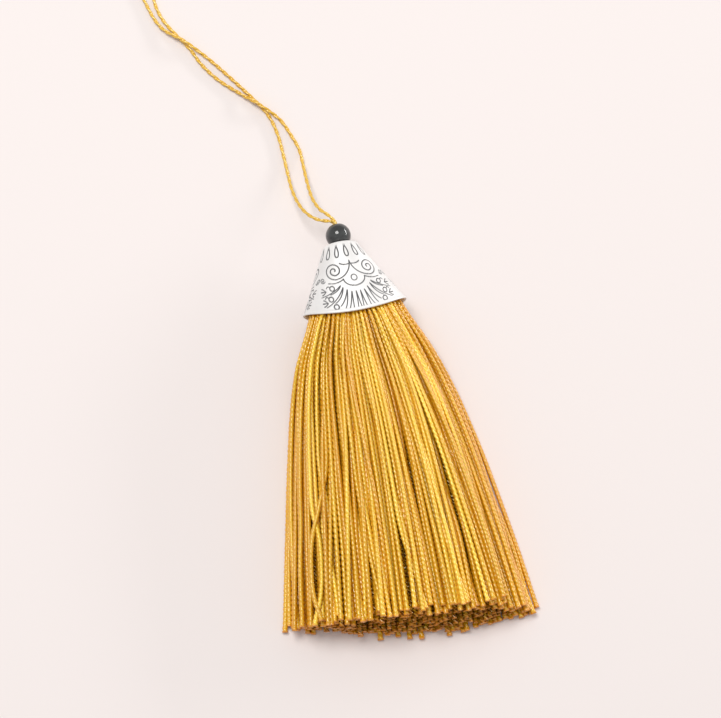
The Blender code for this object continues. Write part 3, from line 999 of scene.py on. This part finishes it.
class Finish:
    """A material and short ways to add and join its nodes."""

    def __init__(self, name, **values):
        self.material = bpy.data.materials.new(name)
        self.material.use_nodes = True
        self.tree = self.material.node_tree
        self.shader = self.tree.nodes["Principled BSDF"]
        for socket, value in values.items():
            self.shader.inputs[socket.replace("_", " ")].default_value = value

    def add(self, kind, inputs=(), **values):
        """A node of a kind, its settings given by name and its inputs by socket, joined or set."""
        node = self.tree.nodes.new(kind)
        for key, value in values.items():
            setattr(node, key, value)
        for socket, source in dict(inputs).items():
            if isinstance(source, bpy.types.NodeSocket):
                self.tree.links.new(source, node.inputs[socket])
            else:
                node.inputs[socket].default_value = source
        return node

    def math(self, operation, a, b=0.0, c=0.0):
        return self.add("ShaderNodeMath", {0: a, 1: b, 2: c}, operation=operation).outputs[0]

    def noise(self, place, scale, detail):
        inputs = {"Vector": place, "Scale": scale, "Detail": detail}
        return self.add("ShaderNodeTexNoise", inputs).outputs[0]

    def bump(self, height, strength, distance):
        inputs = {"Height": height, "Strength": strength, "Distance": distance}
        return self.add("ShaderNodeBump", inputs).outputs[0]

    def blend(self, share, a, b):
        """From colour a to colour b."""
        node = self.add("ShaderNodeMix", {0: share, 6: a, 7: b}, data_type="RGBA")
        return node.outputs[2]

    def ramp(self, source, *stops):
        """Colours at places along the source's value."""
        node = self.add("ShaderNodeValToRGB", {0: source})
        line = node.color_ramp
        for element, (place, colour) in zip(line.elements, (stops[0], stops[-1])):
            element.position = place
            element.color = (*colour, 1.0)
        for place, colour in stops[1:-1]:
            line.elements.new(place).color = (*colour, 1.0)
        return node.outputs[0]

    def give(self, **sockets):
        """Joins sources to the shader and hands back the material."""
        for socket, source in sockets.items():
            self.tree.links.new(source, self.shader.inputs[socket.replace("_", " ")])
        return self.material


def silk_finish(name, tones, edge_and_groove_shade, cut_and_shade_colour, edge_shade_share, groove_shade_share):
    """Two-ply silk, its tone varying along and between threads. Painted shade deepens its edges and
    groove, and partly its cut.
    """
    f = Finish(
        name,
        Sheen_Weight=0.03,
        Sheen_Roughness=0.35,
        Sheen_Tint=(1.0, 0.84, 0.50, 1.0),
        Specular_Tint=(1.0, 0.94, 0.72, 1.0),
        Specular_IOR_Level=1.0,
        Coat_Weight=0.6,
        Coat_Roughness=0.12,
    )
    look = f.add("ShaderNodeVertexColor", layer_name="strand_look").outputs[0]
    parts = f.add("ShaderNodeSeparateColor", {0: look})
    tone, groove, cut = parts.outputs[0], parts.outputs[1], parts.outputs[2]
    uv = f.add("ShaderNodeUVMap", uv_map="along").outputs[0]
    stretched = f.add("ShaderNodeMapping", {"Vector": uv, "Scale": (26.0, 9.0, 1.0)}).outputs[0]
    fibres = f.noise(stretched, 1.0, 3.0)
    varied = f.math("MULTIPLY_ADD", f.math("SUBTRACT", fibres, 0.5), 0.45, tone)
    deep, plain, pale = tones
    colour = f.ramp(varied, (0.10, deep), (0.50, plain), (0.92, pale))
    # painted shade: the colour deepens toward a thread's grazing edges, standing in for the shade
    # between threads
    edge = f.add("ShaderNodeLayerWeight", {"Blend": 0.5}).outputs["Facing"]
    colour = f.blend(f.math("MULTIPLY", edge, edge_shade_share), colour, (*edge_and_groove_shade, 1.0))
    # painted shade in the groove between the two plies
    colour = f.blend(f.math("MULTIPLY", groove, groove_shade_share), colour, (*edge_and_groove_shade, 1.0))
    # the cut's deeper colour: partly the cut fibres' own, partly painted shade on the end faces
    colour = f.blend(cut, colour, (*cut_and_shade_colour, 1.0))
    bump = f.bump(fibres, 0.30, 0.00005)
    rough = f.math("MULTIPLY_ADD", cut, 0.4, f.math("MULTIPLY_ADD", fibres, 0.12, 0.17))
    return f.give(Base_Color=colour, Roughness=rough, Normal=bump)


def silver_finish():
    """Pale plated metal with a satin face, dark in the engraving."""
    f = Finish("cap_metal", Metallic=0.26)
    engraved = f.add("ShaderNodeAttribute", attribute_name="engraved").outputs["Fac"]
    place = f.add("ShaderNodeTexCoord").outputs["Object"]
    grain = f.noise(place, 900.0, 4.0)
    cloud = f.noise(place, 160.0, 3.0)
    plate = f.ramp(cloud, (0.35, (0.78, 0.775, 0.77)), (0.65, (0.86, 0.855, 0.85)))
    colour = f.blend(f.math("MULTIPLY", engraved, 0.95), plate, (0.050, 0.054, 0.060, 1.0))
    rough = f.math("MULTIPLY_ADD", engraved, 0.28, f.math("MULTIPLY_ADD", grain, 0.12, 0.42))
    return f.give(Base_Color=colour, Roughness=rough, Normal=f.bump(grain, 0.10, 0.00004))


def bead_finish():
    """Polished black with faint cloudy depth."""
    f = Finish("bead_gloss", Coat_Weight=0.3, Coat_Roughness=0.03)
    place = f.add("ShaderNodeTexCoord").outputs["Object"]
    cloud = f.noise(place, 420.0, 3.0)
    colour = f.ramp(cloud, (0.40, (0.026, 0.027, 0.027)), (0.70, (0.056, 0.062, 0.062)))
    rough = f.math("MULTIPLY_ADD", cloud, 0.06, 0.05)
    return f.give(Base_Color=colour, Roughness=rough)


# ---------------------------------------------------------------- stage


def make_stage():
    deselect_all()
    bpy.ops.mesh.primitive_plane_add(size=4.0, location=(0.0, 0.0, 0.0))
    floor = bpy.context.object
    floor.name = "floor"
    pale = Finish("pale_floor", Roughness=0.75, Base_Color=(0.80, 0.745, 0.735, 1.0))
    floor.data.materials.append(pale.material)

    world = bpy.data.worlds.new("soft_room")
    world.use_nodes = True
    background = world.node_tree.nodes["Background"]
    background.inputs["Color"].default_value = (1.0, 0.975, 0.965, 1.0)
    background.inputs["Strength"].default_value = 0.55
    bpy.context.scene.world = world

    # name, place, size, power in watts, colour; both look at the origin
    lamps = (
        ("window", (0.74, 0.24, 0.18), (0.60, 0.08), 2.4, (1.0, 0.985, 0.97)),
        ("key", (-0.16, 0.30, 0.93), (0.50, 0.50), 6.0, (1.0, 0.985, 0.96)),
    )
    for name, place, size, power, colour in lamps:
        data = bpy.data.lights.new(name, "AREA")
        data.shape = "ELLIPSE"
        data.size, data.size_y = size
        data.energy = power
        data.color = colour
        lamp = new_object(name, data)
        lamp.location = place
        lamp.rotation_mode = "QUATERNION"
        lamp.rotation_quaternion = (-Vector(place)).to_track_quat("-Z", "Y")
    bpy.context.scene.view_settings.view_transform = "Standard"


def main():
    make_camera()
    cord = silk_finish(
        "cord_silk",
        tones=((0.62, 0.32, 0.01), (0.80, 0.48, 0.03), (0.95, 0.70, 0.13)),
        # painted shade: the deeper, redder colour at the edges and in the groove
        edge_and_groove_shade=(0.62, 0.27, 0.01),
        # the cut's deeper colour, partly painted shade
        cut_and_shade_colour=(0.20, 0.09, 0.01),
        edge_shade_share=0.5,
        groove_shade_share=0.7,
    )
    silk = silk_finish(
        "thread_silk",
        tones=((0.63, 0.305, 0.003), (0.70, 0.405, 0.004), (0.96, 0.72, 0.06)),
        # painted shade: the deeper, redder colour at the edges and in the groove
        edge_and_groove_shade=(0.90, 0.31, 0.002),
        # the cut's deeper colour, partly painted shade on the end faces
        cut_and_shade_colour=(0.74, 0.27, 0.015),
        edge_shade_share=0.9,
        groove_shade_share=0.25,
    )
    make_cord(cord)
    make_threads(silk)
    make_bound_head(silk)
    make_cap(silver_finish())
    make_bead(bead_finish())
    make_stage()


main()
